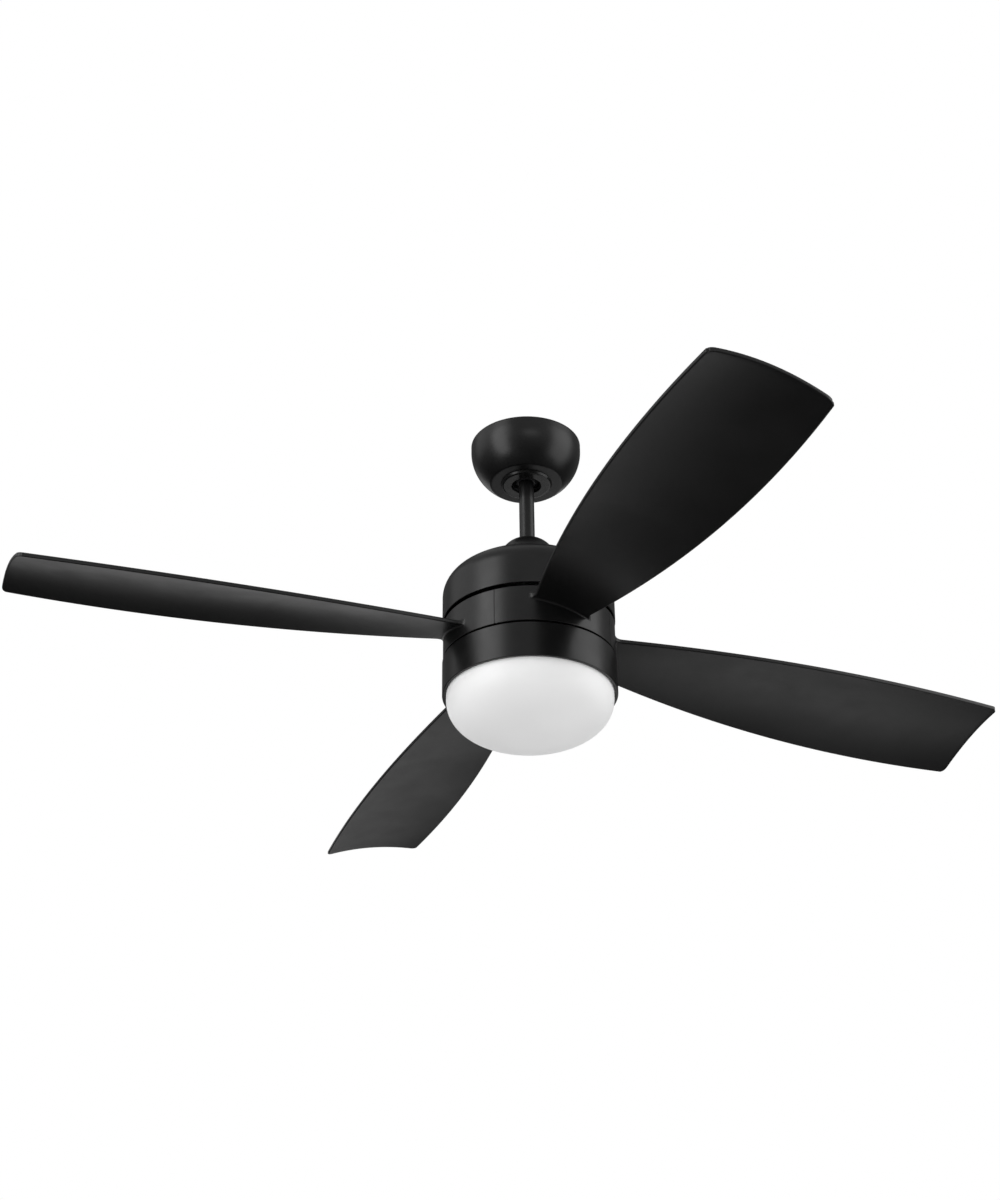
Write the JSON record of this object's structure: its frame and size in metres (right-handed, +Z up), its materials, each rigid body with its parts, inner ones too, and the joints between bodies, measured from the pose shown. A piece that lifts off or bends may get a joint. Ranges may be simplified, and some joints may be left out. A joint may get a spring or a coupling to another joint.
{
  "type": "ceiling fan with light",
  "caption": "Black ceiling fan on a short downrod: drum motor housing, pitched moulded blades with a collar of their own, and a shallow opal glass light below.",
  "frame": {"origin": "centre of the hanging bracket's top face, in the plane of the ceiling, on the fan's axis", "axes": "+Z up along the downrod towards the ceiling, +X along the bracket's two slots"},
  "size_m": [1.3204, 1.3204, 0.4579],
  "materials": {
    "housing_paint": "satin black paint on pressed steel",
    "blade_plastic": "matt black moulded plastic",
    "trim_plastic": "black moulded plastic",
    "zinc_steel": "bright zinc plate",
    "pin_steel": "plain steel",
    "dark_screw": "black oxide screws",
    "cast_iron_black": "black casting",
    "cast_aluminium": "sand-blasted casting",
    "core_steel": "stacked laminations",
    "copper_wire": "enamelled copper windings",
    "magnet_ferrite": "ground ferrite",
    "white_plastic": "white moulded plastic",
    "connector_orange": "orange moulded plastic",
    "wire_skin": "insulated leads in three colours",
    "board_white": "white solder mask",
    "led_phosphor": "yellow phosphor",
    "opal_glass": "satin opal white glass"
  },
  "bodies": {
    "mount": {"hanger_bracket": "zinc_steel", "canopy": "housing_paint", "canopy_screws": "dark_screw", "canopy_ring": "trim_plastic", "receiver": "trim_plastic", "wire_connectors": "connector_orange", "supply_wires": "wire_skin", "receiver_wires": "wire_skin"},
    "key": {"key_pin": "pin_steel"},
    "hanger": {"hanger_ball": "trim_plastic", "ball_cross_pin": "pin_steel", "ball_set_screw": "dark_screw", "downrod": "housing_paint", "lead_wires": "wire_skin", "lead_plug": "white_plastic", "motor_coupling": "cast_iron_black", "clevis_pin": "pin_steel", "hitch_pin": "pin_steel", "coupling_screws": "dark_screw", "motor_shaft": "pin_steel", "stator_core": "core_steel", "stator_windings": "copper_wire", "bearing_inner_rings": "pin_steel", "upper_housing": "housing_paint", "housing_screws": "dark_screw", "light_pan": "zinc_steel", "fitter": "housing_paint", "fitter_screws": "dark_screw", "led_driver": "white_plastic", "driver_plug": "white_plastic", "led_plate": "cast_aluminium", "led_spacers": "cast_aluminium", "led_screws": "dark_screw", "led_board": "board_white", "led_chips": "led_phosphor"},
    "cover": {"yoke_cover": "housing_paint"},
    "rotor": {"rotor_upper_shell": "cast_aluminium", "rotor_lower_shell": "cast_aluminium", "rotor_magnets": "magnet_ferrite", "bearing_outer_rings": "pin_steel", "bearing_balls": "pin_steel", "rotor_screws": "dark_screw", "flywheel": "cast_aluminium", "flywheel_screws": "dark_screw", "blade_1": "blade_plastic", "blade_2": "blade_plastic", "blade_3": "blade_plastic", "blade_4": "blade_plastic", "blade_screws": "dark_screw"},
    "glass": {"glass_bowl": "opal_glass", "glass_ring": "white_plastic"}
  },
  "joints": [
    {"name": "ball_tilt_x", "type": "hinge", "parent": "mount", "child": "key", "pos_m": [0, 0, -0.04], "axis": [1, 0, 0], "range_deg": [-12, 12]},
    {"name": "ball_tilt_y", "type": "hinge", "parent": "key", "child": "hanger", "pos_m": [0, 0, -0.04], "axis": [0, 1, 0], "range_deg": [-12, 12]},
    {"name": "yoke_cover_lift", "type": "slide", "parent": "hanger", "child": "cover", "axis": [0, 0, 1], "range_m": [0, 0.05]},
    {"name": "rotor_spin", "type": "hinge", "parent": "hanger", "child": "rotor", "pos_m": [0, 0, -0.25], "axis": [0, 0, 1], "continuous": true},
    {"name": "glass_twist", "type": "hinge", "parent": "hanger", "child": "glass", "pos_m": [0, 0, -0.39], "axis": [0, 0, 1], "range_deg": [0, 32]}
  ]
}
